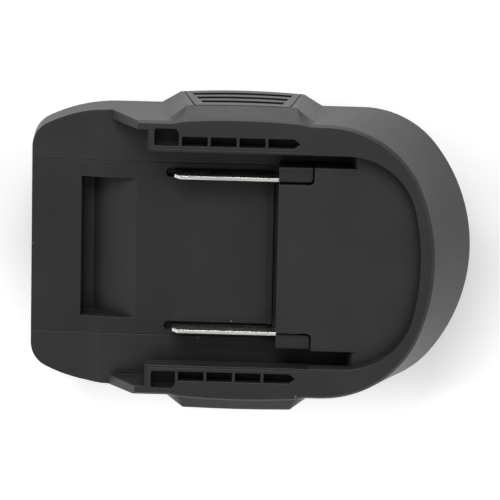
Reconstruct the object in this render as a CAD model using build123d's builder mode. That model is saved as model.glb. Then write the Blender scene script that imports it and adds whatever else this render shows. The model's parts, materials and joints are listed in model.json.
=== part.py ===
from build123d import *
import os
from math import copysign

# A slide-on battery adapter for cordless tools, lying on the foot that faces the tool.
# The receiver for the battery is on top. The battery slides in along +X from the entry end.
# Left is +Y. Stations run along X from the entry end, and levels run up from the foot.
# All sizes are in millimetres.

# Plan of the casing, from the receiver outwards
plateau_start = 64.2
plateau_length = 37.2
nose_rim_width = 3.3
nose_slope_run = 9.5
bay_end = plateau_start + plateau_length
rim_length = bay_end + nose_rim_width
overall_length = rim_length + nose_slope_run
bay_half_width = 34.6
side_wall_width = 2.3
flank_flare = 0.6
rim_half_width = bay_half_width + side_wall_width
parting_half_width = rim_half_width + flank_flare
corner_drop = 10.9
corner_end = 22.0
entry_half_width = parting_half_width - corner_drop
nose_low_length = 28.8
nose_high_length = 29.1
nose_start_low = overall_length - nose_low_length
nose_start_high = rim_length - nose_high_length
corner_arc_share = 0.67
nose_arc_low_share = 0.84
nose_arc_high_share = 0.94
bay_arc_share = 0.94
channel_arc_share = 0.7
rim_edge = 0.6

# Levels
platform_height = 11.0
tub_depth = 12.5
flank_height = 8.0
rail_height = 9.4
plateau_height = 6.8
parting_level = platform_height + tub_depth
deck_level = parting_level + flank_height
rim_level = deck_level + rail_height
plateau_level = deck_level + plateau_height

# Walls and common clearances
casing_wall = 2.2
deck_thickness = 2.0
seam_gap = 0.1
slide_gap = 0.3
overrun = 2.0

# Entry: a lower lead-in, a short ramp up to the deck, and side walls that rise to the rim
lead_drop = 0.8
lead_end = 14.6
ramp_end = 18.5
wall_rise_start = 20.6
wall_rise_end = 27.8

# Bay and rail flanges
flange_reach = 5.8
opening_half_width = bay_half_width - flange_reach
flange_start = 30.3
groove_height = 4.6
bay_nose_length = 19.7
bay_curve_start = bay_end - bay_nose_length
channel_setback = 18.7
channel_end = bay_end - channel_setback
channel_run_out = 2.8

# Rail liners, thin strips on the end, inner edge and underside of each flange
liner_thickness = 0.65
liner_foot_thickness = 0.8
liner_end = 72.7

# Core-outs in the top of each flange
core_start = 32.0
core_wide_end = 37.4
core_narrow_start = 39.1
core_end = 68.0
core_tip = 69.6
core_inset = 1.55
core_width = 2.6
core_wide_width = 4.65
core_inner = opening_half_width + core_inset
core_outer = core_inner + core_width
core_wide_outer = core_inner + core_wide_width
core_depth = 3.4
core_corner_radius = 0.6
core_rib_width = 0.75
core_rib_first = 38.7
core_rib_pitch = 7.42
core_rib_count = 4

# Wings that carry the release buttons, at the rim, shoulder, parting line and foot
wing_rim_start = 36.2
wing_rim_end = 72.6
wing_rim_taper = 3.1
wing_rim_reach = 1.2
wing_rim_half_width = rim_half_width + wing_rim_reach
wing_shoulder_start = 35.3
wing_shoulder_end = 73.3
wing_shoulder_taper = 5.0
wing_shoulder_bow = 0.25
wing_reach = 3.5
wing_bow = 0.6
wing_half_width = parting_half_width + wing_reach
wing_parting_start = 33.1
wing_parting_end = 75.0
wing_parting_taper = 4.9
wing_foot_start = 35.0
wing_foot_end = 73.0
wing_foot_taper = 4.2
wing_foot_sink = 4.5
wing_foot_half_width = parting_half_width - wing_foot_sink
wing_depth = 9.0
wing_hollow_depth = 5.0
wing_root_depth = 6.9
wing_root_half_width = rim_half_width - wing_root_depth
wing_shoulder_height = 7.0
wing_shoulder_level = deck_level + wing_shoulder_height

# Release buttons. Their window is wider at the parting line than at the shoulder.
window_start_low = 38.8
window_end_low = 69.4
window_start_high = 42.0
window_end_high = 66.9
button_face_thickness = 1.8
button_travel = 2.8
grip_groove_height = 2.1
grip_groove_depth = 1.1
grip_groove_inset = 2.3
grip_groove_first_drop = 3.8
grip_groove_pitch = 3.95
grip_groove_count = 3
stem_start = 45.0
stem_end = 65.0
stem_top_gap = 0.3
carrier_start = 47.0
carrier_end = 63.0
carrier_length = 6.5
carrier_setback = 2.4
carrier_drop = 3.0
retainer_overlap = 2.5
retainer_thickness = 1.6
retainer_gap = 0.4
retainer_outer = parting_half_width - casing_wall - retainer_gap
carrier_outer = retainer_outer - carrier_setback
carrier_inner = carrier_outer - carrier_length

# Button springs
spring_radius = 1.9
spring_wire = 0.45
spring_bore_radius = 2.2
spring_bore_end_depth = 2.5
spring_post_distance = 6.7
spring_seat = carrier_outer + spring_bore_end_depth
spring_post_face = carrier_inner - spring_post_distance
spring_post_thickness = 2.0
spring_post_half_length = 4.0

# Latch hooks, bent from flat strip
hook_thickness = 1.5
hook_half_length = 4.5
hook_wall_gap = 1.6
hook_root_inset = 1.5
hook_root_outer = carrier_outer - hook_root_inset
hook_nose_reach = 2.5
hook_nose_low = 6.0
hook_nose_height = 2.6
hook_nose_flat = 4.5

# Plateau, the raised stop that the battery's nose runs up to
plateau_side_gap = 4.1
plateau_half_width = opening_half_width - plateau_side_gap

# Power blades
blade_start = 37.1
blade_inset = 3.9
blade_thickness = 0.9
blade_height = 5.1
blade_depth = 2.2
blade_bevel = 1.6
blade_sink = 6.4
blade_tail_length = 4.0
blade_tail_depth = 9.0
blade_tail_gap = 0.15
blade_centre = plateau_half_width - blade_inset
blade_end = plateau_start + blade_sink

# Terminal blocks in the plateau's corners
block_length = 9.2
block_reach = 0.8
block_face_gap = 0.1
block_drop = 0.7
block_side_gap = 0.65
block_end_gap = 0.4
block_corner_radius = 1.3
block_edge_radius = 0.5
block_end = plateau_start + block_length
block_inner = blade_centre - block_reach
block_outer = plateau_half_width - block_face_gap

# Central deck insert with its latch pocket and blade slots
insert_end_gap = 1.2
insert_edge = 2.6
insert_end = plateau_start - insert_end_gap
insert_half_width = blade_centre + insert_edge
insert_thickness = 2.4
insert_ledge_width = 1.6
insert_ledge_depth = 2.0
insert_ridge_width = 1.2
insert_ridge_height = 0.7
pocket_start = 12.9
pocket_end = 27.3
pocket_side_inset = 1.9
pocket_half_width = blade_centre - pocket_side_inset
pocket_depth = 5.8
pocket_floor_length = 2.6
pocket_wall_draft = 0.5
pocket_wall = 1.4
slot_lead = 2.3
slot_half_width = 1.25
slot_depth = 1.3
slit_gap = 0.12
slot_start = blade_start - slot_lead
slot_inner = blade_centre - slot_half_width
slot_outer = blade_centre + slot_half_width

# Tub, the casing's lower shell, and the platform that slides into the tool
tub_inset = 5.0
tub_end_inset = 6.0
tub_entry_inset = 3.0
tub_edge = 1.5
platform_start = 20.0
platform_end_margin = 22.2
platform_end = overall_length - platform_end_margin
platform_half_width = 29.0
platform_corner = 4.0
neck_half_width = 23.5
head_height = 4.5
stop_length = 6.0
platform_wall = 2.2
hook_leg_outer = neck_half_width - platform_wall - hook_wall_gap
foot_thickness = 2.2

# Screws that hold the two shells together
entry_screw_station = 9.0
entry_screw_margin = 0.6
entry_screw_offset = insert_half_width + entry_screw_margin
nose_screw_margin = 15.2
nose_screw_station = overall_length - nose_screw_margin
nose_screw_offset = 12.0
boss_radius = 3.2
boss_sides = 8
screw_radius = 1.4
screw_hole_gap = 0.06
screw_head_radius = 2.7
screw_head_height = 2.0
screw_head_gap = 0.3
screw_head_recess = 1.0
screw_drive_radius = 1.2
screw_drive_depth = 1.2
screw_tip_gap = 0.8
tub_hole_radius = 1.6

# Contacts that reach the tool's blades, in their carrier
contact_slot_width = 2.6
contact_slot_length = 22.0
contact_slot_start = platform_end - contact_slot_length
contact_slot_height = 8.5
power_contact_offset = 14.0
signal_contact_offset = 4.7
carrier_block_length = 27.5
carrier_block_start = platform_end - carrier_block_length
carrier_block_half_width = 18.5
carrier_block_height = 14.0
carrier_gap = 0.15
contact_cell_half_width = 2.2
contact_cell_height = 11.4
contact_leaf_thickness = 0.6
contact_leaf_gap = 1.0
contact_setback = 2.0
contact_length = 14.0
contact_start = contact_slot_start + contact_setback
contact_end = contact_start + contact_length
contact_flare = 0.7
contact_foot_gap = 0.8
contact_tail_length = 2.0
contact_tail_setback = 2.0
contact_tail_station = contact_end - contact_tail_setback
contact_tail_rise = 0.9
tail_clearance = 0.15

# Circuit board and what stands on it
board_end_reach = 2.0
board_length = 32.0
board_end = platform_end + board_end_reach
board_start = board_end - board_length
board_half_width = 19.0
board_thickness = 1.6
board_corner_radius = 1.5
board_screw_entry_setback = 4.7
board_screw_nose_setback = 6.0
board_screw_entry_station = board_start + board_screw_entry_setback
board_screw_nose_station = board_end - board_screw_nose_setback
board_screw_radius = 0.95
board_screw_head_radius = 1.9
board_screw_head_height = 1.3
board_screw_depth = 5.0
capacitor_setback = 16.5
capacitor_station = board_start + capacitor_setback
capacitor_radius = 4.0
capacitor_height = 12.0
capacitor_edge = 0.5
transistor_setback = 10.0
transistor_station = board_start + transistor_setback
transistor_offset = 9.6
transistor_length = 9.2
transistor_width = 8.4
transistor_height = 4.4
transistor_tab_length = 5.5
transistor_tab_thickness = 1.3
transistor_edge = 0.4
chip_setback = 3.5
chip_station = board_end - chip_setback
chip_offset = 9.5
chip_length = 4.0
chip_width = 5.0
chip_height = 1.5

# Lead wires from the blade tails down to the board
wire_radius = 1.0
wire_top_drop = 4.0
wire_bend_drop = 9.0
wire_end_setback = 2.6
wire_end_station = board_start + wire_end_setback
wire_end_offset = 14.6

sides = (1, -1)


def at(station):
    """X of a station measured from the entry end."""
    return station - overall_length / 2


def patch(station_from, station_to, y_from, y_to, mode=Mode.ADD):
    """Puts a rectangle between two stations and two Y values into the open sketch."""
    with Locations((at((station_from + station_to) / 2), (y_from + y_to) / 2)):
        Rectangle(abs(station_to - station_from), abs(y_to - y_from), mode=mode)


def rounded(start, end, arc_share):
    """Two arcs that meet smoothly: they leave start along X and reach end along Y.
    The tighter arc's radius is a share of the shorter leg, and the other follows from it."""
    reach, drop = end[0] - start[0], end[1] - start[1]
    short, long = sorted((abs(reach), abs(drop)))
    tight = arc_share * short
    wide = (short**2 + long**2 - 2 * long * tight) / (2 * (short - tight))
    first, second = (tight, wide) if abs(reach) < abs(drop) else (wide, tight)
    scale = first / (second - first)
    meeting = (
        start[0] + copysign(scale * (second - abs(reach)), reach),
        start[1] + copysign(first + scale * (first - abs(drop)), drop),
    )
    TangentArc(start, meeting, tangent=(reach, 0))
    TangentArc(end, meeting, tangent=(0, -drop))


def outline(start, entry_half, half_width, nose_start, end, arc_share):
    """Plan face with a straight entry end, swept corners, straight flanks and a rounded nose."""
    with BuildSketch() as plan:
        with BuildLine():
            Line((at(start), 0), (at(start), entry_half))
            rounded((at(corner_end), half_width), (at(start), entry_half), corner_arc_share)
            Line((at(corner_end), half_width), (at(nose_start), half_width))
            rounded((at(nose_start), half_width), (at(end), 0), arc_share)
            mirror(about=Plane.XZ)
        make_face()
    return plan.sketch


def casing_plan(level, inset=0):
    """Plan of the upper shell at a level between the parting line and the rim."""
    rise = (level - parting_level) / (rim_level - parting_level)
    half_width = parting_half_width + rise * (rim_half_width - parting_half_width)
    nose_start = nose_start_low + rise * (nose_start_high - nose_start_low)
    length = overall_length + rise * (rim_length - overall_length)
    arc_share = nose_arc_low_share + rise * (nose_arc_high_share - nose_arc_low_share)
    return outline(
        inset, entry_half_width - inset, half_width - inset, nose_start, length - inset, arc_share
    )


def tub_plan(level, inset=0):
    """Plan of the lower shell at a level between its floor and the parting line."""
    fall = (parting_level - level) / tub_depth
    return outline(
        fall * tub_entry_inset + inset,
        entry_half_width - fall * tub_entry_inset - inset,
        parting_half_width - fall * tub_inset - inset,
        nose_start_low - fall * tub_end_inset,
        overall_length - fall * tub_end_inset - inset,
        nose_arc_low_share,
    )


def wing_plan(side, start, end, taper, half_width, bow, root):
    """Plan of one wing: an outer side that bows out in the middle, between two tapers
    that run back to the flank's face, the root."""
    with BuildSketch() as plan:
        with BuildLine():
            outer_start = (at(start + taper), side * (half_width - bow))
            outer_end = (at(end - taper), side * (half_width - bow))
            ThreePointArc(outer_start, (at((start + end) / 2), side * half_width), outer_end)
            Polyline(
                outer_end,
                (at(end), side * root),
                (at(end), side * wing_root_half_width),
                (at(start), side * wing_root_half_width),
                (at(start), side * root),
                outer_start,
            )
        make_face()
    return plan.sketch


def window_profile(gap):
    """Side view of a button window, or of the button itself with a gap all round."""
    with BuildSketch() as profile:
        with BuildLine():
            Polyline(
                (at(window_start_low) + gap, parting_level + gap),
                (at(window_end_low) - gap, parting_level + gap),
                (at(window_end_high) - gap, wing_shoulder_level - gap),
                (at(window_start_high) + gap, wing_shoulder_level - gap),
                close=True,
            )
        make_face()
    return profile.sketch


def channel_profile(top_level):
    """Side view of a rail channel, whose far end curves up to the plateau."""
    with BuildSketch() as profile:
        with BuildLine():
            curve_end = (at(channel_end + channel_run_out), plateau_level)
            Polyline(
                (at(channel_end), deck_level),
                (at(flange_start), deck_level),
                (at(flange_start), plateau_level),
                curve_end,
            )
            rounded(curve_end, (at(channel_end), deck_level), channel_arc_share)
        make_face()
        with Locations((0, top_level + rail_height / 2)):
            Rectangle(2 * overall_length, rail_height, mode=Mode.SUBTRACT)
    return profile.sketch


def both_sides(station, offset):
    """The two places at one station that mirror each other about the centre line."""
    return [(at(station), side * offset) for side in sides]


deck_underside = deck_level - deck_thickness
plateau_underside = plateau_level - deck_thickness
flange_underside = deck_level + groove_height
insert_underside = deck_level - insert_thickness
lead_level = deck_level - lead_drop
button_outer_face = wing_half_width
stem_low = parting_level + slide_gap
stem_high = deck_underside - stem_top_gap
carrier_low = parting_level - carrier_drop
spring_level = (stem_low + stem_high) / 2
window_back = button_outer_face - button_face_thickness - button_travel - slide_gap
entry_screw_points = both_sides(entry_screw_station, entry_screw_offset)
nose_screw_points = both_sides(nose_screw_station, nose_screw_offset)
screw_points = entry_screw_points + nose_screw_points
contact_offsets = [
    side * offset for offset in (power_contact_offset, signal_contact_offset) for side in sides
]
board_screw_points = [(at(board_screw_entry_station), 0), (at(board_screw_nose_station), 0)]

# Upper housing: the shell with the receiver for the battery
with BuildPart() as upper_housing:
    for level, inset in ((parting_level, 0), (rim_level - rim_edge, 0), (rim_level, rim_edge)):
        with BuildSketch(Plane.XY.offset(level)):
            add(casing_plan(level, inset))
    loft(ruled=True)

    # Wings, upright up to the shoulder and drawn in above it
    for side in sides:
        with BuildSketch(Plane.XY.offset(parting_level)):
            add(wing_plan(
                side, wing_parting_start, wing_parting_end, wing_parting_taper, wing_half_width,
                wing_bow, parting_half_width - seam_gap,
            ))
        with BuildSketch(Plane.XY.offset(wing_shoulder_level)):
            add(wing_plan(
                side, wing_shoulder_start, wing_shoulder_end, wing_shoulder_taper, wing_half_width,
                wing_shoulder_bow, rim_half_width - seam_gap,
            ))
        for level, inset in ((rim_level - rim_edge, 0), (rim_level, rim_edge)):
            with BuildSketch(Plane.XY.offset(level)):
                add(wing_plan(
                    side, wing_rim_start, wing_rim_end, wing_rim_taper, wing_rim_half_width - inset,
                    wing_bow, rim_half_width - inset - seam_gap,
                ))
        loft(ruled=True)

    # Entry end: lead-in, ramp, deck and the rise of the side walls
    with BuildSketch(Plane.XZ):
        with BuildLine():
            Polyline(
                (at(-overrun), lead_level),
                (at(lead_end), lead_level),
                (at(ramp_end), deck_level),
                (at(wall_rise_start), deck_level),
                (at(wall_rise_end), rim_level),
                (at(wall_rise_end), rim_level + overrun),
                (at(-overrun), rim_level + overrun),
                close=True,
            )
        make_face()
    extrude(amount=wing_half_width, both=True, mode=Mode.SUBTRACT)

    # Bay between the side walls, and between the flanges as far as the plateau
    with BuildSketch(Plane.XY.offset(deck_level)):
        patch(ramp_end, flange_start + liner_thickness, -bay_half_width, bay_half_width)
        patch(flange_start, plateau_start, -opening_half_width, opening_half_width)
    extrude(amount=rail_height + overrun, mode=Mode.SUBTRACT)

    # Opening above the plateau, rounded at the nose
    with BuildSketch(Plane.XY.offset(plateau_level)):
        with BuildLine():
            Polyline(
                (at(flange_start), 0),
                (at(flange_start), opening_half_width),
                (at(bay_curve_start), opening_half_width),
            )
            rounded((at(bay_curve_start), opening_half_width), (at(bay_end), 0), bay_arc_share)
            mirror(about=Plane.XZ)
        make_face()
    extrude(amount=rail_height, mode=Mode.SUBTRACT)

    # Rail channels beside the plateau and under the flanges, and the seats of the rail liners
    for side in sides:
        with BuildSketch(Plane.XZ.offset(-side * plateau_half_width)):
            add(channel_profile(plateau_level))
        extrude(amount=-side * (opening_half_width - plateau_half_width), mode=Mode.SUBTRACT)
        with BuildSketch(Plane.XZ.offset(-side * opening_half_width)):
            add(channel_profile(flange_underside + liner_foot_thickness))
        extrude(amount=-side * (bay_half_width - opening_half_width), mode=Mode.SUBTRACT)
    with BuildSketch(Plane.XY.offset(flange_underside)):
        for side in sides:
            patch(
                flange_start,
                liner_end,
                side * (opening_half_width - seam_gap),
                side * (opening_half_width + liner_thickness),
            )
    extrude(amount=rail_height, mode=Mode.SUBTRACT)

    # Core-outs in the flanges, crossed by thin ribs
    for side in sides:
        with BuildSketch(Plane.XY.offset(rim_level)) as core:
            with BuildLine():
                Polyline(
                    (at(core_start), side * core_inner),
                    (at(core_end), side * core_inner),
                    (at(core_tip), side * (core_inner + core_outer) / 2),
                    (at(core_end), side * core_outer),
                    (at(core_narrow_start), side * core_outer),
                    (at(core_wide_end), side * core_wide_outer),
                    (at(core_start), side * core_wide_outer),
                    close=True,
                )
            make_face()
            fillet(core.vertices().group_by(Axis.X)[0], radius=core_corner_radius)
            for rib in range(core_rib_count):
                rib_station = core_rib_first + rib * core_rib_pitch
                patch(
                    rib_station - core_rib_width / 2,
                    rib_station + core_rib_width / 2,
                    side * core_inner,
                    side * core_wide_outer,
                    mode=Mode.SUBTRACT,
                )
        extrude(amount=-core_depth, mode=Mode.SUBTRACT)

    # Hollow inside, under the deck and under the plateau
    for level in (parting_level, deck_underside):
        with BuildSketch(Plane.XY.offset(level)):
            add(casing_plan(level, casing_wall))
    loft(ruled=True, mode=Mode.SUBTRACT)
    with BuildSketch(Plane.XY.offset(deck_underside)):
        add(casing_plan(plateau_level, casing_wall))
        patch(-overrun, plateau_start + casing_wall, -bay_half_width - casing_wall,
              bay_half_width + casing_wall, mode=Mode.SUBTRACT)
        for side in sides:
            patch(
                plateau_start,
                channel_end + channel_run_out + casing_wall,
                side * (plateau_half_width - casing_wall),
                side * (bay_half_width + casing_wall),
                mode=Mode.SUBTRACT,
            )
    extrude(amount=plateau_underside - deck_underside, mode=Mode.SUBTRACT)

    # Ledges that carry the deck insert, left open where the button carriers slide past
    with BuildSketch(Plane.XY.offset(insert_underside - insert_ledge_depth)):
        for side in sides:
            patch(
                casing_wall,
                plateau_start + casing_wall,
                side * (insert_half_width - insert_ledge_width),
                side * (insert_half_width + insert_ledge_width),
            )
            patch(
                carrier_start - insert_ledge_width,
                carrier_end + slide_gap,
                side * (insert_half_width - insert_ledge_width),
                side * (insert_half_width + insert_ledge_width),
                mode=Mode.SUBTRACT,
            )
    extrude(amount=insert_ledge_depth + insert_thickness - deck_thickness)

    # Bosses for the housing screws
    with BuildSketch(Plane.XY.offset(parting_level)):
        with Locations(*entry_screw_points):
            RegularPolygon(boss_radius, boss_sides)
    extrude(amount=deck_underside - parting_level)
    with BuildSketch(Plane.XY.offset(parting_level)):
        with Locations(*nose_screw_points):
            RegularPolygon(boss_radius, boss_sides)
    extrude(amount=plateau_underside - parting_level)
    with BuildSketch(Plane.XY.offset(parting_level)):
        with Locations(*screw_points):
            Circle(screw_radius + screw_hole_gap)
    extrude(amount=insert_underside - parting_level, mode=Mode.SUBTRACT)

    # Seat of the deck insert, open below between the ledges
    with BuildSketch(Plane.XY.offset(insert_underside)):
        patch(-overrun, insert_end + seam_gap, -insert_half_width, insert_half_width)
    extrude(amount=insert_thickness + overrun, mode=Mode.SUBTRACT)
    with BuildSketch(Plane.XY.offset(deck_underside - deck_thickness)):
        patch(
            casing_wall,
            insert_end - insert_ledge_width,
            -insert_half_width + insert_ledge_width,
            insert_half_width - insert_ledge_width,
        )
    extrude(amount=deck_level - deck_underside, mode=Mode.SUBTRACT)

    # Corners of the plateau that take the terminal blocks, and the slots for the blade tails
    for side in sides:
        with BuildSketch(Plane.XY.offset(deck_level)) as corner:
            patch(plateau_start - overrun, block_end, side * block_inner, side * plateau_half_width)
            fillet(
                corner.vertices().group_by(Axis.X)[-1].sort_by(Axis.Y)[0 if side > 0 else -1],
                radius=block_corner_radius,
            )
        extrude(amount=plateau_height + overrun, mode=Mode.SUBTRACT)
        with BuildSketch(Plane.XY.offset(deck_underside - insert_ledge_depth - overrun)):
            patch(
                insert_end - insert_ledge_width,
                blade_end + blade_tail_gap,
                side * (blade_centre - blade_thickness / 2 - blade_tail_gap),
                side * (blade_centre + blade_thickness / 2 + blade_tail_gap),
            )
        extrude(amount=deck_thickness + insert_ledge_depth + overrun, mode=Mode.SUBTRACT)

    # Windows for the release buttons, with a narrower way through the flank for each stem
    for side in sides:
        with BuildSketch(Plane.XZ.offset(-side * window_back)):
            add(window_profile(0))
        extrude(amount=-side * (wing_half_width - window_back + overrun), mode=Mode.SUBTRACT)
    with BuildSketch(Plane.XY.offset(parting_level)):
        patch(stem_start - slide_gap, stem_end + slide_gap, -window_back - overrun, -bay_half_width + overrun)
        patch(stem_start - slide_gap, stem_end + slide_gap, bay_half_width - overrun, window_back + overrun)
    extrude(amount=deck_underside - parting_level, mode=Mode.SUBTRACT)

# Lower housing: the tub and the platform that slides into the tool
with BuildPart() as lower_housing:
    for level, inset in ((parting_level, 0), (platform_height + tub_edge, 0), (platform_height, tub_edge)):
        with BuildSketch(Plane.XY.offset(level)):
            add(tub_plan(level, inset))
    loft(ruled=True)
    for side in sides:
        with BuildSketch(Plane.XY.offset(parting_level)):
            add(wing_plan(
                side, wing_parting_start, wing_parting_end, wing_parting_taper, wing_half_width,
                wing_bow, parting_half_width - seam_gap,
            ))
        with BuildSketch(Plane.XY.offset(parting_level - wing_depth)):
            add(wing_plan(
                side, wing_foot_start, wing_foot_end, wing_foot_taper, wing_foot_half_width + wing_bow,
                wing_bow, wing_foot_half_width - seam_gap,
            ))
        loft(ruled=True)

    # Hollow of each wing, open towards the button above it, with an outer wall that slopes with the wing
    hollow_outer = wing_half_width - wing_bow - casing_wall
    hollow_sink = (wing_half_width - wing_bow - wing_foot_half_width) * wing_hollow_depth / wing_depth
    for side in sides:
        for depth, sink in ((0, 0), (wing_hollow_depth, hollow_sink)):
            with BuildSketch(Plane.XY.offset(parting_level - depth)):
                patch(
                    wing_parting_start + wing_parting_taper + casing_wall,
                    wing_parting_end - wing_parting_taper - casing_wall,
                    side * (parting_half_width - casing_wall - tub_inset),
                    side * (hollow_outer - sink),
                )
        loft(ruled=True, mode=Mode.SUBTRACT)

    # Platform: a wide head at the foot, rail grooves above it, and a stop across the rear end
    with BuildSketch() as head:
        patch(platform_start, platform_end, -platform_half_width, platform_half_width)
        chamfer(head.vertices().group_by(Axis.X)[-1], length=platform_corner)
    extrude(amount=head_height)
    with BuildSketch():
        patch(platform_start, platform_end, -neck_half_width, neck_half_width)
        patch(platform_start, platform_start + stop_length, -platform_half_width, platform_half_width)
    extrude(amount=platform_height + casing_wall)

    # Hollow inside
    for level in (parting_level, platform_height + casing_wall):
        with BuildSketch(Plane.XY.offset(level)):
            add(tub_plan(level, casing_wall))
    loft(ruled=True, mode=Mode.SUBTRACT)
    with BuildSketch(Plane.XY.offset(foot_thickness)):
        patch(
            platform_start + platform_wall,
            platform_end - platform_wall,
            -neck_half_width + platform_wall,
            neck_half_width - platform_wall,
        )
    extrude(amount=platform_height + casing_wall - foot_thickness + overrun, mode=Mode.SUBTRACT)

    # Slots for the tool's blades, open at the foot and at the leading end
    with BuildSketch():
        for offset in contact_offsets:
            patch(
                contact_slot_start,
                platform_end + overrun,
                offset - contact_slot_width / 2,
                offset + contact_slot_width / 2,
            )
    extrude(amount=contact_slot_height, mode=Mode.SUBTRACT)

    # Windows in the neck for the noses of the latch hooks
    with BuildSketch(Plane.XY.offset(hook_nose_low - slide_gap)):
        patch(
            (stem_start + stem_end) / 2 - hook_half_length - slide_gap,
            (stem_start + stem_end) / 2 + hook_half_length + slide_gap,
            -neck_half_width - overrun,
            neck_half_width + overrun,
        )
    extrude(amount=hook_nose_height + 2 * slide_gap, mode=Mode.SUBTRACT)

    # Screw pillars, drilled through and counterbored from below
    with BuildSketch(Plane.XY.offset(platform_height + casing_wall / 2)):
        with Locations(*screw_points):
            RegularPolygon(boss_radius, boss_sides)
    extrude(amount=tub_depth - casing_wall / 2)
    with BuildSketch(Plane.XY.offset(platform_height)):
        with Locations(*screw_points):
            Circle(tub_hole_radius)
    extrude(amount=tub_depth, mode=Mode.SUBTRACT)
    with BuildSketch(Plane.XY.offset(platform_height)):
        with Locations(*screw_points):
            Circle(screw_head_radius + screw_head_gap)
    extrude(amount=screw_head_height + screw_head_recess, mode=Mode.SUBTRACT)

# Deck insert: the middle of the deck, with the latch pocket and the slots for the blades
with BuildPart() as deck_insert:
    with BuildSketch(Plane.XZ):
        with BuildLine():
            Polyline(
                (at(0), insert_underside),
                (at(0), lead_level),
                (at(lead_end), lead_level),
                (at(ramp_end), deck_level),
                (at(insert_end), deck_level),
                (at(insert_end), insert_underside),
                close=True,
            )
        make_face()
    extrude(amount=insert_half_width - seam_gap, both=True)

    # Walls and floor under the latch pocket
    pocket_bottom = deck_level - pocket_depth
    with BuildSketch(Plane.XZ):
        with BuildLine():
            Polyline(
                (at(pocket_start - pocket_wall), insert_underside),
                (at(pocket_start - pocket_wall), pocket_bottom - pocket_wall),
                (at(pocket_start + pocket_floor_length), pocket_bottom - pocket_wall),
                (at(pocket_end + pocket_wall), insert_underside),
                close=True,
            )
        make_face()
    extrude(amount=pocket_half_width + pocket_wall, both=True)
    with BuildSketch(Plane.XZ):
        with BuildLine():
            Polyline(
                (at(pocket_start), deck_level + overrun),
                (at(pocket_start), lead_level),
                (at(pocket_start + pocket_wall_draft), pocket_bottom),
                (at(pocket_start + pocket_wall_draft + pocket_floor_length), pocket_bottom),
                (at(pocket_end), deck_level),
                (at(pocket_end), deck_level + overrun),
                close=True,
            )
        make_face()
    extrude(amount=pocket_half_width, both=True, mode=Mode.SUBTRACT)

    # Low ridge along the end that meets the plateau
    with BuildSketch(Plane.XY.offset(deck_level)):
        patch(insert_end - insert_ridge_width, insert_end, -slot_inner, slot_inner)
    extrude(amount=insert_ridge_height)

    # Blade slots with a rounded end, and the slits in their floors that the blades pass through
    with BuildSketch(Plane.XY.offset(deck_level - slot_depth)):
        for side in sides:
            patch(slot_start + slot_half_width, insert_end + overrun, side * slot_inner, side * slot_outer)
            with Locations((at(slot_start + slot_half_width), side * blade_centre)):
                Circle(slot_half_width)
    extrude(amount=slot_depth + overrun, mode=Mode.SUBTRACT)
    with BuildSketch(Plane.XY.offset(insert_underside)):
        for side in sides:
            patch(
                blade_start - slit_gap,
                insert_end + overrun,
                side * (blade_centre - blade_thickness / 2 - slit_gap),
                side * (blade_centre + blade_thickness / 2 + slit_gap),
            )
    extrude(amount=insert_thickness, mode=Mode.SUBTRACT)

    # Posts that the button springs push against
    with BuildSketch(Plane.XY.offset(spring_level - spring_radius - slide_gap)):
        for side in sides:
            patch(
                (stem_start + stem_end) / 2 - spring_post_half_length,
                (stem_start + stem_end) / 2 + spring_post_half_length,
                side * (spring_post_face - spring_post_thickness),
                side * spring_post_face,
            )
    extrude(amount=insert_underside - spring_level + spring_radius + slide_gap)


def rail_liner(side):
    """Strip round the end, inner edge and underside of one flange."""
    with BuildPart() as liner:
        inner = opening_half_width
        with BuildSketch(Plane.XY.offset(flange_underside + liner_foot_thickness)):
            patch(flange_start, liner_end - seam_gap, side * inner, side * (inner + liner_thickness))
            patch(flange_start, flange_start + liner_thickness, side * inner,
                  side * (bay_half_width - seam_gap))
        extrude(amount=rim_level - flange_underside - liner_foot_thickness)
        with BuildSketch(Plane.XY.offset(flange_underside)):
            patch(flange_start, liner_end - seam_gap, side * inner, side * (bay_half_width - seam_gap))
        extrude(amount=liner_foot_thickness)
    return liner


def terminal_block(side):
    """Insulating block in a corner of the plateau that grips the root of a blade."""
    with BuildPart() as block:
        with BuildSketch(Plane.XY.offset(deck_level)) as plan:
            patch(plateau_start, block_end - block_end_gap, side * (block_inner + block_side_gap),
                  side * block_outer)
            fillet(
                plan.vertices().group_by(Axis.X)[-1].sort_by(Axis.Y)[0 if side > 0 else -1],
                radius=block_corner_radius - block_end_gap,
            )
        extrude(amount=plateau_height - block_drop)
        fillet(
            block.edges().group_by(Axis.Z)[-1].filter_by(Axis.X).sort_by(Axis.Y)[-1 if side > 0 else 0],
            radius=block_edge_radius,
        )
        with BuildSketch(Plane.XY.offset(deck_level)):
            patch(
                plateau_start - overrun,
                blade_end + blade_tail_gap,
                side * (block_inner - overrun),
                side * (blade_centre + blade_thickness / 2),
            )
        extrude(amount=blade_height, mode=Mode.SUBTRACT)
    return block


def blade(side):
    """Flat power blade with a bevelled tip, and a tail that is soldered to its lead wire."""
    with BuildPart() as strip:
        with BuildSketch(Plane.XZ.offset(-side * (blade_centre - blade_thickness / 2))):
            with BuildLine():
                Polyline(
                    (at(blade_start), deck_level - blade_depth),
                    (at(blade_start), deck_level + blade_height - blade_bevel),
                    (at(blade_start + blade_bevel), deck_level + blade_height),
                    (at(blade_end), deck_level + blade_height),
                    (at(blade_end), deck_level - blade_tail_depth),
                    (at(blade_end - blade_tail_length), deck_level - blade_tail_depth),
                    (at(blade_end - blade_tail_length), deck_level - blade_depth),
                    close=True,
                )
            make_face()
        extrude(amount=-side * blade_thickness)
    return strip


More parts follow.
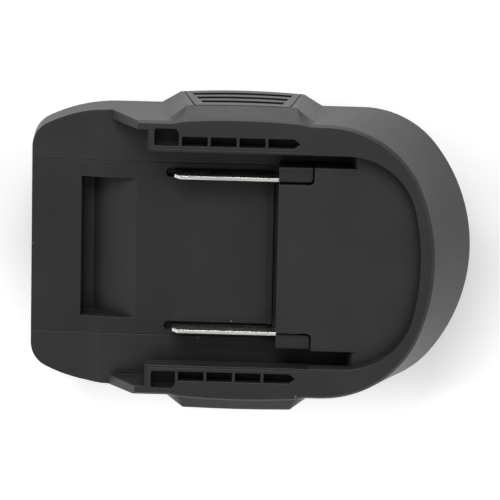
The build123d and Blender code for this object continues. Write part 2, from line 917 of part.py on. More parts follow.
def release_button(side):
    """Grooved button face with the stem, retainer and carrier that slide inside the casing."""
    face_inner = button_outer_face - button_face_thickness
    middle = (stem_start + stem_end) / 2
    with BuildPart() as button:
        with BuildSketch(Plane.XZ.offset(-side * face_inner)):
            add(window_profile(slide_gap))
        extrude(amount=-side * button_face_thickness)
        with BuildSketch(Plane.XY.offset(parting_level)):
            add(wing_plan(
                side, wing_parting_start, wing_parting_end, wing_parting_taper, wing_half_width,
                wing_bow, parting_half_width - seam_gap,
            ))
        with BuildSketch(Plane.XY.offset(wing_shoulder_level)):
            add(wing_plan(
                side, wing_shoulder_start, wing_shoulder_end, wing_shoulder_taper, wing_half_width,
                wing_shoulder_bow, rim_half_width - seam_gap,
            ))
        loft(ruled=True, mode=Mode.INTERSECT)

        # Grip grooves with ends that follow the sloping ends of the face
        for groove in range(grip_groove_count):
            middle_level = wing_shoulder_level - grip_groove_first_drop - groove * grip_groove_pitch
            with BuildSketch(Plane.XZ.offset(-side * (button_outer_face - grip_groove_depth))):
                add(window_profile(grip_groove_inset))
                with Locations((0, middle_level + overall_length / 2 + grip_groove_height / 2)):
                    Rectangle(overall_length, overall_length, mode=Mode.SUBTRACT)
                with Locations((0, middle_level - overall_length / 2 - grip_groove_height / 2)):
                    Rectangle(overall_length, overall_length, mode=Mode.SUBTRACT)
            extrude(amount=-side * overrun, mode=Mode.SUBTRACT)

        # Stem, retainer behind the flank and carrier
        with BuildSketch(Plane.XY.offset(stem_low)):
            patch(stem_start, stem_end, side * carrier_outer, side * face_inner)
            patch(
                stem_start - retainer_overlap,
                stem_end + retainer_overlap,
                side * (retainer_outer - retainer_thickness),
                side * retainer_outer,
            )
        extrude(amount=stem_high - stem_low)
        with BuildSketch(Plane.XY.offset(carrier_low)):
            patch(carrier_start, carrier_end, side * carrier_inner, side * carrier_outer)
        extrude(amount=stem_high - stem_top_gap - carrier_low)

        # Bore for the spring
        with BuildSketch(Plane.XZ.offset(-side * carrier_inner)):
            with Locations((at(middle), spring_level)):
                Circle(spring_bore_radius)
        extrude(amount=-side * (spring_seat - carrier_inner), mode=Mode.SUBTRACT)
    return button


def latch_hook(side):
    """Bent strip under the button's carrier, whose nose stands out through the neck."""
    middle = (stem_start + stem_end) / 2
    nose_tip = neck_half_width + hook_nose_reach
    with BuildPart() as hook:
        with BuildSketch(Plane.XY.offset(carrier_low - hook_thickness)):
            patch(
                middle - hook_half_length,
                middle + hook_half_length,
                side * (hook_leg_outer - hook_thickness),
                side * hook_root_outer,
            )
        extrude(amount=hook_thickness)
        with BuildSketch(Plane.XY.offset(hook_nose_low)):
            patch(
                middle - hook_half_length,
                middle + hook_half_length,
                side * (hook_leg_outer - hook_thickness),
                side * hook_leg_outer,
            )
        extrude(amount=carrier_low - hook_nose_low)
        with BuildSketch(Plane.XY.offset(hook_nose_low)):
            with BuildLine():
                Polyline(
                    (at(middle - hook_half_length), side * (hook_leg_outer - hook_thickness)),
                    (at(middle - hook_half_length), side * nose_tip),
                    (at(middle - hook_half_length + hook_nose_flat), side * nose_tip),
                    (at(middle + hook_half_length), side * neck_half_width),
                    (at(middle + hook_half_length), side * (hook_leg_outer - hook_thickness)),
                    close=True,
                )
            make_face()
        extrude(amount=hook_nose_height)
    return hook


def button_spring(side):
    """Compression spring between the deck insert's post and the button, as a thin sleeve."""
    with BuildPart() as spring:
        with BuildSketch(Plane.XZ.offset(-side * spring_post_face)):
            with Locations((at((stem_start + stem_end) / 2), spring_level)):
                Circle(spring_radius)
                Circle(spring_radius - spring_wire, mode=Mode.SUBTRACT)
        extrude(amount=-side * (spring_seat - spring_post_face))
    return spring


def lead_wire(side):
    """Insulated wire from a blade's tail down to its pad on the board."""
    tail_face = blade_centre - blade_thickness / 2
    start = (at(blade_end - blade_tail_length / 2), side * (tail_face - wire_radius))
    board_top = carrier_block_height + board_thickness
    points = (
        (start[0], start[1], deck_level - wire_top_drop),
        (start[0], start[1], deck_level - wire_bend_drop),
        (at(wire_end_station), side * wire_end_offset, board_top + wire_top_drop),
        (at(wire_end_station), side * wire_end_offset, board_top),
    )
    with BuildPart() as wire:
        with BuildLine() as route:
            Polyline(*points)
        with BuildSketch(Plane(origin=points[0], z_dir=(0, 0, -1))):
            Circle(wire_radius)
        sweep(path=route.wire(), transition=Transition.RIGHT)
    return wire


# Contact carrier: the insulating block behind the slots of the platform
with BuildPart() as contact_carrier:
    with BuildSketch(Plane.XY.offset(foot_thickness)):
        patch(
            carrier_block_start,
            platform_end - platform_wall - carrier_gap,
            -carrier_block_half_width,
            carrier_block_half_width,
        )
    extrude(amount=carrier_block_height - foot_thickness)
    with BuildSketch(Plane.XY.offset(foot_thickness)):
        for offset in contact_offsets:
            patch(
                contact_slot_start,
                platform_end,
                offset - contact_cell_half_width,
                offset + contact_cell_half_width,
            )
    extrude(amount=contact_cell_height - foot_thickness, mode=Mode.SUBTRACT)
    with BuildSketch(Plane.XY.offset(foot_thickness)):
        for offset in contact_offsets:
            patch(
                contact_tail_station - contact_tail_length / 2 - tail_clearance,
                contact_tail_station + contact_tail_length / 2 + tail_clearance,
                offset - contact_leaf_thickness / 2 - tail_clearance,
                offset + contact_leaf_thickness / 2 + tail_clearance,
            )
    extrude(amount=carrier_block_height, mode=Mode.SUBTRACT)
    with BuildSketch(Plane.XY.offset(carrier_block_height - board_screw_depth)):
        with Locations(*board_screw_points):
            Circle(board_screw_radius + screw_hole_gap)
    extrude(amount=board_screw_depth, mode=Mode.SUBTRACT)


def contact_clip(offset):
    """Clip of two leaves that grip a tool blade, with a tail through the board."""
    leaf_low = foot_thickness + contact_foot_gap
    bridge_low = contact_cell_height - contact_leaf_thickness
    half_gap = contact_leaf_gap / 2
    tail_top = carrier_block_height + board_thickness + contact_tail_rise
    with BuildPart() as clip:
        for side in sides:
            with BuildSketch(Plane.YZ.offset(at(contact_start))):
                with BuildLine():
                    Polyline(
                        (offset + side * (half_gap + contact_flare), leaf_low),
                        (offset + side * half_gap, leaf_low + contact_flare + contact_foot_gap),
                        (offset + side * (half_gap + contact_flare / 2), bridge_low),
                        (offset + side * (half_gap + contact_flare / 2 + contact_leaf_thickness), bridge_low),
                        (offset + side * (half_gap + contact_leaf_thickness),
                         leaf_low + contact_flare + contact_foot_gap),
                        (offset + side * (half_gap + contact_flare + contact_leaf_thickness), leaf_low),
                        close=True,
                    )
                make_face()
            extrude(amount=contact_end - contact_start)
        bridge_half_width = half_gap + contact_flare / 2 + contact_leaf_thickness
        with BuildSketch(Plane.XY.offset(bridge_low)):
            patch(contact_start, contact_end, offset - bridge_half_width, offset + bridge_half_width)
        extrude(amount=contact_leaf_thickness)
        with BuildSketch(Plane.XY.offset(contact_cell_height)):
            patch(
                contact_tail_station - contact_tail_length / 2,
                contact_tail_station + contact_tail_length / 2,
                offset - contact_leaf_thickness / 2,
                offset + contact_leaf_thickness / 2,
            )
        extrude(amount=tail_top - contact_cell_height)
    return clip


# Circuit board
board_top = carrier_block_height + board_thickness
with BuildPart() as circuit_board:
    with BuildSketch(Plane.XY.offset(carrier_block_height)) as board_plan:
        patch(board_start, board_end, -board_half_width, board_half_width)
        fillet(board_plan.vertices(), radius=board_corner_radius)
        for offset in contact_offsets:
            patch(
                contact_tail_station - contact_tail_length / 2 - tail_clearance,
                contact_tail_station + contact_tail_length / 2 + tail_clearance,
                offset - contact_leaf_thickness / 2 - tail_clearance,
                offset + contact_leaf_thickness / 2 + tail_clearance,
                mode=Mode.SUBTRACT,
            )
        with Locations(*board_screw_points):
            Circle(board_screw_radius + screw_hole_gap, mode=Mode.SUBTRACT)
    extrude(amount=board_thickness)

# Smoothing capacitor, standing on the board
with BuildPart() as capacitor:
    with BuildSketch(Plane.XY.offset(board_top)):
        with Locations((at(capacitor_station), 0)):
            Circle(capacitor_radius)
    extrude(amount=capacitor_height)
    chamfer(capacitor.edges().group_by(Axis.Z)[-1], length=capacitor_edge)

# Pair of power transistors, each a moulded body on a metal tab
with BuildPart() as power_transistors:
    with BuildSketch(Plane.XY.offset(board_top)):
        for side in sides:
            patch(
                transistor_station - transistor_length / 2,
                transistor_station + transistor_length / 2,
                side * transistor_offset - transistor_width / 2,
                side * transistor_offset + transistor_width / 2,
            )
    extrude(amount=transistor_tab_thickness)
    with BuildSketch(Plane.XY.offset(board_top)):
        for side in sides:
            patch(
                transistor_station - transistor_length / 2,
                transistor_station + transistor_length / 2 - transistor_tab_length / 2,
                side * transistor_offset - transistor_width / 2,
                side * transistor_offset + transistor_width / 2,
            )
    extrude(amount=transistor_height)
    chamfer(power_transistors.edges().group_by(Axis.Z)[-1], length=transistor_edge)

# Control chip
with BuildPart() as control_chip:
    with BuildSketch(Plane.XY.offset(board_top)):
        patch(chip_station - chip_length / 2, chip_station + chip_length / 2,
              chip_offset - chip_width / 2, chip_offset + chip_width / 2)
    extrude(amount=chip_height)

# Screws that hold the board on the contact carrier
with BuildPart() as board_screws:
    with BuildSketch(Plane.XY.offset(board_top)):
        with Locations(*board_screw_points):
            Circle(board_screw_head_radius)
    extrude(amount=board_screw_head_height)
    with BuildSketch(Plane.XY.offset(board_top + screw_hole_gap - board_screw_depth)):
        with Locations(*board_screw_points):
            Circle(board_screw_radius)
    extrude(amount=board_screw_depth - screw_hole_gap)

# Screws that hold the two shells together, driven from the tool side
head_seat = platform_height + screw_head_recess + screw_head_height
with BuildPart() as housing_screws:
    with BuildSketch(Plane.XY.offset(head_seat)):
        with Locations(*screw_points):
            Circle(screw_head_radius)
    extrude(amount=-screw_head_height)
    with BuildSketch(Plane.XY.offset(head_seat)):
        with Locations(*screw_points):
            Circle(screw_radius)
    extrude(amount=insert_underside - screw_tip_gap - head_seat)
    with BuildSketch(Plane.XY.offset(head_seat - screw_head_height)):
        with Locations(*screw_points):
            RegularPolygon(screw_drive_radius, side_count=6)
    extrude(amount=screw_drive_depth, mode=Mode.SUBTRACT)

# Clips for the tool's two signal blades
with BuildPart() as signal_clips:
    for side in sides:
        add(contact_clip(side * signal_contact_offset).part)

pieces = {
    "upper_housing": upper_housing,
    "lower_housing": lower_housing,
    "deck_insert": deck_insert,
    "contact_carrier": contact_carrier,
    "contact_clip_positive": contact_clip(power_contact_offset),
    "contact_clip_negative": contact_clip(-power_contact_offset),
    "signal_clips": signal_clips,
    "circuit_board": circuit_board,
    "capacitor": capacitor,
    "power_transistors": power_transistors,
    "control_chip": control_chip,
    "board_screws": board_screws,
    "housing_screws": housing_screws,
}
for name, side in (("left", 1), ("right", -1)):
    pieces["rail_liner_" + name] = rail_liner(side)
    pieces["terminal_block_" + name] = terminal_block(side)
    pieces["release_button_" + name] = release_button(side)
    pieces["latch_hook_" + name] = latch_hook(side)
    pieces["button_spring_" + name] = button_spring(side)
for name, side in (("positive", 1), ("negative", -1)):
    pieces["blade_" + name] = blade(side)
    pieces["lead_wire_" + name] = lead_wire(side)

os.makedirs("parts", exist_ok=True)
for name, piece in pieces.items():
    piece.part.label = name
    export_step(piece.part, "parts/" + name + ".step")
    print(name, round(piece.part.volume), "mm3", len(piece.part.solids()), "solids")
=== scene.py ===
import json
import math

import bpy
from mathutils import Matrix, Vector


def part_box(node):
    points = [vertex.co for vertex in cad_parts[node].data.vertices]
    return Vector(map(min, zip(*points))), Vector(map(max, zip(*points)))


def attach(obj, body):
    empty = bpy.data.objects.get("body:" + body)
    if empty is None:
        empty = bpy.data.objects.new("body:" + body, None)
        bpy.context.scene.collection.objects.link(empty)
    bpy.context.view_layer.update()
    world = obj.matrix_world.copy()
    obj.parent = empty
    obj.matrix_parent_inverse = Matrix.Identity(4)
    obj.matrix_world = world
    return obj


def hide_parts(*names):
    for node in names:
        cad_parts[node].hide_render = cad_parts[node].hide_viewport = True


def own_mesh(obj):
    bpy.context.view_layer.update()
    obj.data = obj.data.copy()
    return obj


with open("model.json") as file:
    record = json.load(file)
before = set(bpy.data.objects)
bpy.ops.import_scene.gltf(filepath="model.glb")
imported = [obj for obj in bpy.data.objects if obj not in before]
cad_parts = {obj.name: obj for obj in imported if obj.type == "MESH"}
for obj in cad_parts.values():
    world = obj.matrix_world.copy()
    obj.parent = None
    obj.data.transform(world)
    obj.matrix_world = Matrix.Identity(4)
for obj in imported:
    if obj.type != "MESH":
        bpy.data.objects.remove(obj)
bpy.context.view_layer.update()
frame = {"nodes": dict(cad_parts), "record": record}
scene = bpy.context.scene


# Node helpers

def new_material(name):
    """Empty node material with a shader and its output."""
    material = bpy.data.materials.new(name)
    material.use_nodes = True
    tree = material.node_tree
    tree.nodes.clear()
    shader = tree.nodes.new("ShaderNodeBsdfPrincipled")
    output = tree.nodes.new("ShaderNodeOutputMaterial")
    tree.links.new(shader.outputs["BSDF"], output.inputs["Surface"])
    return material, tree, shader


def node(tree, kind, inputs=None, **settings):
    """Adds a node, sets its properties and fills its inputs with values or links."""
    made = tree.nodes.new(kind)
    for key, value in settings.items():
        setattr(made, key, value)
    for key, value in (inputs or {}).items():
        socket = made.inputs[key]
        if isinstance(value, bpy.types.NodeSocket):
            tree.links.new(value, socket)
        else:
            socket.default_value = value
    return made


def ramp(tree, factor, stops):
    """Grey ramp from (place, value) stops."""
    made = node(tree, "ShaderNodeValToRGB", {"Fac": factor})
    elements = made.color_ramp.elements
    while len(elements) < len(stops):
        elements.new(0.5)
    for element, (place, value) in zip(elements, stops):
        element.position = place
        element.color = (value, value, value, 1)
    return made.outputs["Color"]


def math_node(tree, operation, first, second=0.0, clamp=False):
    """One arithmetic step."""
    made = node(tree, "ShaderNodeMath", {0: first, 1: second}, operation=operation, use_clamp=clamp)
    return made.outputs[0]


def mix_colour(tree, factor, first, second, blend="MIX"):
    """Mixes two colours, given as links or as tuples."""
    made = tree.nodes.new("ShaderNodeMix")
    made.data_type = "RGBA"
    made.blend_type = blend
    factor_socket, first_socket, second_socket, result_socket = 0, 6, 7, 2
    for index, value in ((factor_socket, factor), (first_socket, first), (second_socket, second)):
        if isinstance(value, bpy.types.NodeSocket):
            tree.links.new(value, made.inputs[index])
        elif index == factor_socket:
            made.inputs[index].default_value = value
        else:
            made.inputs[index].default_value = (*value, 1)
    return made.outputs[result_socket]


# Materials. Lengths are in metres, and a noise's scale is in features per metre.

bevel_samples = 6
cloud_scale = 55.0
broad_scale = 14.0
pit_density = 0.8
pit_share = 0.6
moulded_relief = 0.00005
plastic_index = 1.5

speck_scale = 230.0
speck_size = 0.055
speck_threshold = 0.90
lying_slope = 0.6
dust_colour = (0.30, 0.29, 0.27)

rubbed_gain = 2.2
rubbed_lift = 0.008
rubbed_polish = 0.05

# Painted shade in recesses: the occlusion's reach, its samples and the darkening stops
painted_shade_distance = 0.006
painted_shade_samples = 8
painted_shade_stops = [(0.10, 0.50), (0.55, 0.52), (0.90, 1.0)]
plastic_specular = 0.5


def moulded(name, colour, roughness, grain=0.00042, bump=0.22, edge=0.12, dust=0.6, edge_radius=0.00022):
    """Moulded plastic: spark-eroded grain, cloudy sheen, slightly rubbed edges, a little dust and painted
    shade in recesses.
    """
    material, tree, shader = new_material(name)
    place = node(tree, "ShaderNodeTexCoord").outputs["Object"]
    fine = node(tree, "ShaderNodeTexNoise", {
        "Vector": place, "Scale": 1 / grain, "Detail": 2.0, "Roughness": 0.6})
    pits = node(tree, "ShaderNodeTexVoronoi", {"Vector": place, "Scale": pit_density / grain}, feature="F1")
    cloud = node(tree, "ShaderNodeTexNoise", {
        "Vector": place, "Scale": cloud_scale, "Detail": 4.0, "Roughness": 0.62})
    broad = node(tree, "ShaderNodeTexNoise", {"Vector": place, "Scale": broad_scale, "Detail": 2.0})

    # Softened edges are rubbed, in patches: there the rounded normal leaves the true one
    soft = node(tree, "ShaderNodeBevel", {"Radius": edge_radius}, samples=bevel_samples).outputs["Normal"]
    true = node(tree, "ShaderNodeNewGeometry").outputs["Normal"]
    agree = node(tree, "ShaderNodeVectorMath", {0: soft, 1: true}, operation="DOT_PRODUCT").outputs["Value"]
    patchy = ramp(tree, cloud.outputs["Fac"], [(0.35, 0.25), (0.65, 1.0)])
    rubbed = math_node(tree, "MULTIPLY", ramp(tree, agree, [(0.80, 1.0), (0.985, 0.0)]), patchy)

    # Dust lies in sparse specks on faces that look up
    specks = node(tree, "ShaderNodeTexVoronoi", {
        "Vector": place, "Scale": speck_scale, "Randomness": 1.0}, feature="F1")
    near = math_node(tree, "LESS_THAN", specks.outputs["Distance"], speck_size)
    draw = node(tree, "ShaderNodeSeparateColor", {0: specks.outputs["Color"]}).outputs[0]
    chosen = math_node(tree, "GREATER_THAN", draw, speck_threshold)
    up = node(tree, "ShaderNodeSeparateXYZ", {0: true}).outputs["Z"]
    lying = math_node(tree, "GREATER_THAN", up, lying_slope)
    speck = math_node(tree, "MULTIPLY", math_node(tree, "MULTIPLY", near, chosen), lying)

    # Colour: two sizes of cloud, then rubbed edges, then dust
    tone = ramp(tree, cloud.outputs["Fac"], [(0.30, 0.82), (0.70, 1.14)])
    broad_tone = ramp(tree, broad.outputs["Fac"], [(0.35, 0.85), (0.65, 1.12)])
    rubbed_colour = tuple(rubbed_gain * channel + rubbed_lift for channel in colour)
    base = mix_colour(tree, 1.0, colour, tone, "MULTIPLY")
    base = mix_colour(tree, 0.5, base, mix_colour(tree, 1.0, base, broad_tone, "MULTIPLY"))
    base = mix_colour(tree, math_node(tree, "MULTIPLY", rubbed, edge), base, rubbed_colour)
    base = mix_colour(tree, math_node(tree, "MULTIPLY", speck, dust), base, dust_colour)

    # Painted shade: ambient occlusion darkens the colour and lowers the specular level in recesses and
    # corners
    occlusion = node(tree, "ShaderNodeAmbientOcclusion", {"Distance": painted_shade_distance}, samples=painted_shade_samples)
    painted_shade = ramp(tree, occlusion.outputs["AO"], painted_shade_stops)
    base = mix_colour(tree, 1.0, base, painted_shade, "MULTIPLY")
    tree.links.new(base, shader.inputs["Base Color"])
    tree.links.new(math_node(tree, "MULTIPLY", painted_shade, plastic_specular), shader.inputs["Specular IOR Level"])

    sheen = ramp(tree, fine.outputs["Fac"], [(0.3, roughness - 0.05), (0.7, roughness + 0.07)])
    sheen = math_node(tree, "SUBTRACT", sheen, math_node(tree, "MULTIPLY", rubbed, rubbed_polish))
    tree.links.new(sheen, shader.inputs["Roughness"])

    deep = math_node(tree, "MULTIPLY", pits.outputs["Distance"], pit_share)
    height = math_node(tree, "ADD", fine.outputs["Fac"], deep)
    relief = node(tree, "ShaderNodeBump", {
        "Strength": bump, "Distance": moulded_relief, "Height": height, "Normal": soft})
    tree.links.new(relief.outputs["Normal"], shader.inputs["Normal"])
    shader.inputs["IOR"].default_value = plastic_index
    return material


metal_edge_radius = 0.00018
line_scale = 6000.0
stain_scale = 160.0
mark_scale = 700.0
mark_share = 0.06
metal_relief = 0.00001
metal_bump = 0.25
tarnish_share = 0.25


def metal(name, colour, roughness, stretch=40.0, tarnish=(0.75, 0.72, 0.66)):
    """Drawn or stamped metal with fine lines along X, faint tarnish and softened edges."""
    material, tree, shader = new_material(name)
    place = node(tree, "ShaderNodeTexCoord").outputs["Object"]
    along = node(tree, "ShaderNodeMapping", {"Vector": place, "Scale": (1 / stretch, 1.0, 1.0)}).outputs[0]
    lines = node(tree, "ShaderNodeTexNoise", {
        "Vector": along, "Scale": line_scale, "Detail": 3.0}).outputs["Fac"]
    cloud = node(tree, "ShaderNodeTexNoise", {
        "Vector": place, "Scale": stain_scale, "Detail": 4.0}).outputs["Fac"]
    marks = node(tree, "ShaderNodeTexNoise", {
        "Vector": place, "Scale": mark_scale, "Detail": 1.0}).outputs["Fac"]
    stain = ramp(tree, cloud, [(0.48, 0.0), (0.72, tarnish_share)])
    tree.links.new(mix_colour(tree, stain, colour, tarnish), shader.inputs["Base Color"])
    gloss = ramp(tree, lines, [(0.3, roughness - 0.06), (0.7, roughness + 0.10)])
    gloss = math_node(tree, "ADD", gloss, math_node(tree, "MULTIPLY", marks, mark_share))
    tree.links.new(gloss, shader.inputs["Roughness"])
    soft = node(tree, "ShaderNodeBevel", {"Radius": metal_edge_radius}, samples=bevel_samples)
    relief = node(tree, "ShaderNodeBump", {
        "Strength": metal_bump, "Distance": metal_relief, "Height": lines, "Normal": soft.outputs["Normal"]})
    tree.links.new(relief.outputs["Normal"], shader.inputs["Normal"])
    shader.inputs["Metallic"].default_value = 1.0
    return material


track_scale = 160.0
track_gap = 0.12
mask_cloud_scale = 300.0
mask_bump = 0.3
mask_relief = 0.00004


def laminate(name):
    """Circuit board: cloudy green mask over a grid of raised tracks."""
    material, tree, shader = new_material(name)
    place = node(tree, "ShaderNodeTexCoord").outputs["Object"]
    tracks = node(tree, "ShaderNodeTexBrick", {
        "Vector": place, "Scale": track_scale, "Mortar Size": track_gap, "Mortar Smooth": 0.0}).outputs["Fac"]
    cloud = node(tree, "ShaderNodeTexNoise", {
        "Vector": place, "Scale": mask_cloud_scale, "Detail": 2.0}).outputs["Fac"]
    mask = mix_colour(tree, tracks, (0.012, 0.105, 0.040), (0.025, 0.190, 0.075))
    mask = mix_colour(tree, ramp(tree, cloud, [(0.4, 0.0), (0.7, 0.3)]), mask, (0.01, 0.07, 0.03))
    tree.links.new(mask, shader.inputs["Base Color"])
    tree.links.new(ramp(tree, cloud, [(0.3, 0.25), (0.7, 0.36)]), shader.inputs["Roughness"])
    relief = node(tree, "ShaderNodeBump", {"Strength": mask_bump, "Distance": mask_relief, "Height": tracks})
    tree.links.new(relief.outputs["Normal"], shader.inputs["Normal"])
    return material


finishes = {}
for make, name, colour, roughness, changes in (
    (moulded, "housing_plastic", (0.0198, 0.0198, 0.0208), 0.52, {"edge_radius": 0.0003}),
    (moulded, "insert_plastic", (0.0162, 0.0162, 0.0172), 0.53, {"grain": 0.00038}),
    (moulded, "liner_plastic", (0.0145, 0.0145, 0.0150), 0.40, {"grain": 0.00030, "bump": 0.10}),
    (moulded, "block_plastic", (0.0155, 0.0155, 0.0165), 0.52, {}),
    (moulded, "button_plastic", (0.0150, 0.0150, 0.0160), 0.50, {"bump": 0.16}),
    (moulded, "carrier_plastic", (0.0300, 0.0300, 0.0310), 0.55, {}),
    (moulded, "component_plastic", (0.0200, 0.0200, 0.0200), 0.45, {"dust": 0.0}),
    (moulded, "capacitor_sleeve", (0.0250, 0.0260, 0.0600), 0.22, {"bump": 0.03, "dust": 0.0}),
    (moulded, "wire_red", (0.3600, 0.0160, 0.0140), 0.38, {"bump": 0.05, "dust": 0.0}),
    (moulded, "wire_black", (0.0140, 0.0140, 0.0140), 0.38, {"bump": 0.05, "dust": 0.0}),
    (metal, "blade_metal", (0.73, 0.72, 0.70), 0.22, {}),
    (metal, "contact_metal", (0.80, 0.58, 0.32), 0.26, {"tarnish": (0.55, 0.36, 0.18)}),
    (metal, "spring_steel", (0.62, 0.62, 0.61), 0.26, {"stretch": 12.0}),
    (metal, "screw_steel", (0.16, 0.16, 0.165), 0.34, {"tarnish": (0.10, 0.09, 0.08)}),
):
    finishes[name] = make(name, colour, roughness, **changes)
finishes["board_laminate"] = laminate("board_laminate")
for entry in frame["record"]["subparts"]:
    piece = frame["nodes"][entry["node"]]
    piece.data.materials.clear()
    piece.data.materials.append(finishes[entry["material_slot"]])


# Coil springs in the place of the plain sleeves

coil_wire_radius = 0.00022
coil_turns = 8.5
coil_around = 10
coil_along = 220
end_closing = 0.55


def coil(name, sleeve):
    """Compression spring along Y that fills the sleeve's box, with closed end turns."""
    low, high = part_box(sleeve)
    centre_x, centre_z = (low[0] + high[0]) / 2, (low[2] + high[2]) / 2
    radius = (high[0] - low[0]) / 2 - coil_wire_radius
    start, end = low[1] + coil_wire_radius, high[1] - coil_wire_radius
    points = []
    for step in range(coil_along + 1):
        share = step / coil_along
        climb = share - math.sin(2 * math.pi * share) / (2 * math.pi) * end_closing
        angle = 2 * math.pi * coil_turns * share
        across, rise = radius * math.cos(angle), radius * math.sin(angle)
        points.append(Vector((centre_x + across, start + (end - start) * climb, centre_z + rise)))
    verts, faces = [], []
    for step, point in enumerate(points):
        ahead = points[min(step + 1, coil_along)] - points[max(step - 1, 0)]
        ahead.normalize()
        out = Vector((point.x - centre_x, 0, point.z - centre_z)).normalized()
        side = ahead.cross(out).normalized()
        out = side.cross(ahead).normalized()
        for turn in range(coil_around):
            angle = 2 * math.pi * turn / coil_around
            verts.append(point + coil_wire_radius * (math.cos(angle) * out + math.sin(angle) * side))
    for step in range(coil_along):
        for turn in range(coil_around):
            first = step * coil_around + turn
            second = step * coil_around + (turn + 1) % coil_around
            faces.append((first, second, second + coil_around, first + coil_around))
    faces.append(tuple(range(coil_around - 1, -1, -1)))
    faces.append(tuple(coil_along * coil_around + turn for turn in range(coil_around)))
    mesh = bpy.data.meshes.new(name)
    mesh.from_pydata([tuple(vert) for vert in verts], [], faces)
    for polygon in mesh.polygons:
        polygon.use_smooth = True
    mesh.materials.append(finishes["spring_steel"])
    made = bpy.data.objects.new(name, mesh)
    scene.collection.objects.link(made)
    return made, (centre_x, centre_z)


for side_name, side in (("left", 1), ("right", -1)):
    sleeve = "button_spring_" + side_name
    spring, (spring_x, spring_z) = coil("spring_coil_" + side_name, sleeve)
    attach(spring, "housing")
    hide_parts(sleeve)
    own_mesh(spring)


# Floor

floor_reach = 3.0
floor_level = -0.0001
floor_roughness = 0.9
floor_specular = 0.2
glow_patch_end = 0.10
glow_patch_fade = 0.5

floor_mesh = bpy.data.meshes.new("floor")
floor_corners = [
    (x * floor_reach, y * floor_reach, floor_level) for x, y in ((-1, -1), (1, -1), (1, 1), (-1, 1))]
floor_mesh.from_pydata(floor_corners, [], [(0, 1, 2, 3)])
floor = bpy.data.objects.new("floor", floor_mesh)
scene.collection.objects.link(floor)
floor_material, floor_tree, floor_shader = new_material("pale_floor")
floor_place = node(floor_tree, "ShaderNodeTexCoord").outputs["Object"]
floor_cloud = node(floor_tree, "ShaderNodeTexNoise", {"Vector": floor_place, "Scale": 3.0, "Detail": 2.0})
floor_tone = ramp(floor_tree, floor_cloud.outputs["Fac"], [(0.3, 0.90), (0.7, 0.92)])
floor_tree.links.new(floor_tone, floor_shader.inputs["Base Color"])
floor_shader.inputs["Roughness"].default_value = floor_roughness
floor_shader.inputs["Specular IOR Level"].default_value = floor_specular

# The floor's own glow lights the long walls. It is weaker in a patch that reaches under the part and a little
# past its ends, which paints a soft shadow on the floor around the part.
floor_axes = node(floor_tree, "ShaderNodeSeparateXYZ", {0: floor_place})
floor_across = math_node(floor_tree, "ABSOLUTE", floor_axes.outputs["Y"])
floor_along = math_node(floor_tree, "ABSOLUTE", floor_axes.outputs["X"])
floor_past = math_node(floor_tree, "SUBTRACT", floor_along, glow_patch_end, clamp=True)
floor_past = math_node(floor_tree, "MULTIPLY", floor_past, glow_patch_fade)
floor_away = math_node(floor_tree, "ADD", floor_across, floor_past)
floor_glow = ramp(floor_tree, floor_away, [(0.01, 0.16), (0.042, 0.38), (0.07, 0.98)])
floor_tree.links.new(floor_glow, floor_shader.inputs["Emission Color"])
floor_shader.inputs["Emission Strength"].default_value = 1.0

# Seen from below, the floor is clear, so that the foot of the part shows
floor_below = node(floor_tree, "ShaderNodeNewGeometry").outputs["Backfacing"]
floor_clear = node(floor_tree, "ShaderNodeBsdfTransparent").outputs["BSDF"]
floor_mix = node(floor_tree, "ShaderNodeMixShader", {
    0: floor_below, 1: floor_shader.outputs["BSDF"], 2: floor_clear})
floor_output = next(one for one in floor_tree.nodes if one.type == "OUTPUT_MATERIAL")
floor_tree.links.new(floor_mix.outputs["Shader"], floor_output.inputs["Surface"])
floor_mesh.materials.append(floor_material)


# Light

def area_light(name, place, target_height, size, power):
    """Soft rectangular light that looks at a point on the part's vertical axis."""
    light = bpy.data.lights.new(name, "AREA")
    light.shape = "RECTANGLE"
    light.size, light.size_y = size
    light.energy = power
    made = bpy.data.objects.new(name, light)
    made.location = place
    towards = Vector((0, 0, target_height)) - Vector(place)
    made.rotation_euler = towards.to_track_quat("-Z", "Y").to_euler()
    scene.collection.objects.link(made)


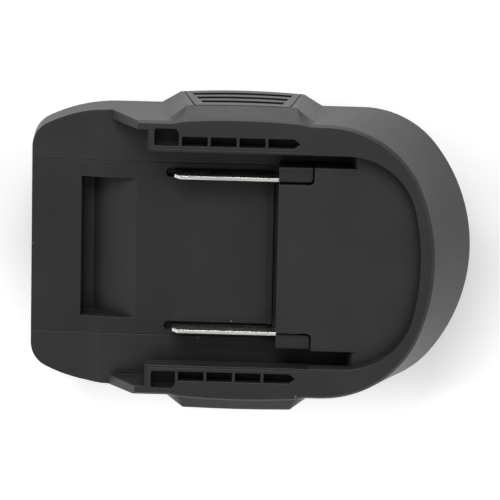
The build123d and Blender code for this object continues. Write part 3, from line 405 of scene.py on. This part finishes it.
area_light("key", (-0.15, 1.05, 0.80), 0.02, (0.9, 0.5), 15.2)
area_light("entry_side", (-1.10, 0.10, 0.75), 0.02, (0.8, 0.8), 1.5)
area_light("nose_side", (0.80, -1.00, 0.50), 0.02, (0.6, 0.6), 0.6)
area_light("near_side", (0.10, -1.05, 0.80), 0.02, (1.1, 0.6), 0.7)
area_light("glint", (-0.03, -0.37, 1.25), 0.03, (0.25, 0.25), 0.22)

world = bpy.data.worlds.new("studio")
scene.world = world
world.use_nodes = True
sky = world.node_tree
sky.nodes.clear()
sky_place = node(sky, "ShaderNodeTexCoord").outputs["Generated"]
sky_height = node(sky, "ShaderNodeSeparateXYZ", {0: sky_place}).outputs["Z"]
sky_tone = ramp(sky, sky_height, [(0.0, 0.85), (0.45, 0.52), (0.85, 0.31), (1.0, 0.26)])
sky_light = node(sky, "ShaderNodeBackground", {"Color": sky_tone, "Strength": 1.0})
sky_output = sky.nodes.new("ShaderNodeOutputWorld")
sky.links.new(sky_light.outputs[0], sky_output.inputs["Surface"])


# Camera. It stands where the fit of the photograph puts it: three turns about X, Y and Z that bring the
# object's frame to the picture's, a shift in the picture plane at deck height, and a distance.

turn_x, turn_y, turn_z = 0.2872, -0.0222, -0.0206
shift_x, shift_y = 0.00013, -0.00031
distance = 1.4
pixels_per_metre = 3844
picture_width = 500
sensor_width = 36.0
deck_height = 0.0315

to_picture = (
    Matrix.Rotation(turn_z, 3, "Z") @ Matrix.Rotation(turn_x, 3, "X") @ Matrix.Rotation(turn_y, 3, "Y"))
to_object = to_picture.transposed()
camera_data = bpy.data.cameras.new("camera")
camera_data.sensor_fit = "HORIZONTAL"
camera_data.sensor_width = sensor_width
camera_data.lens = pixels_per_metre * distance / picture_width * sensor_width
camera_data.clip_start = 0.01
camera = bpy.data.objects.new("camera", camera_data)
camera_place = to_object @ Vector((-shift_x, -shift_y, distance)) + Vector((0, 0, deck_height))
camera.matrix_world = Matrix.Translation(camera_place) @ to_object.to_4x4()
scene.collection.objects.link(camera)
scene.camera = camera
scene.view_settings.view_transform = "Standard"
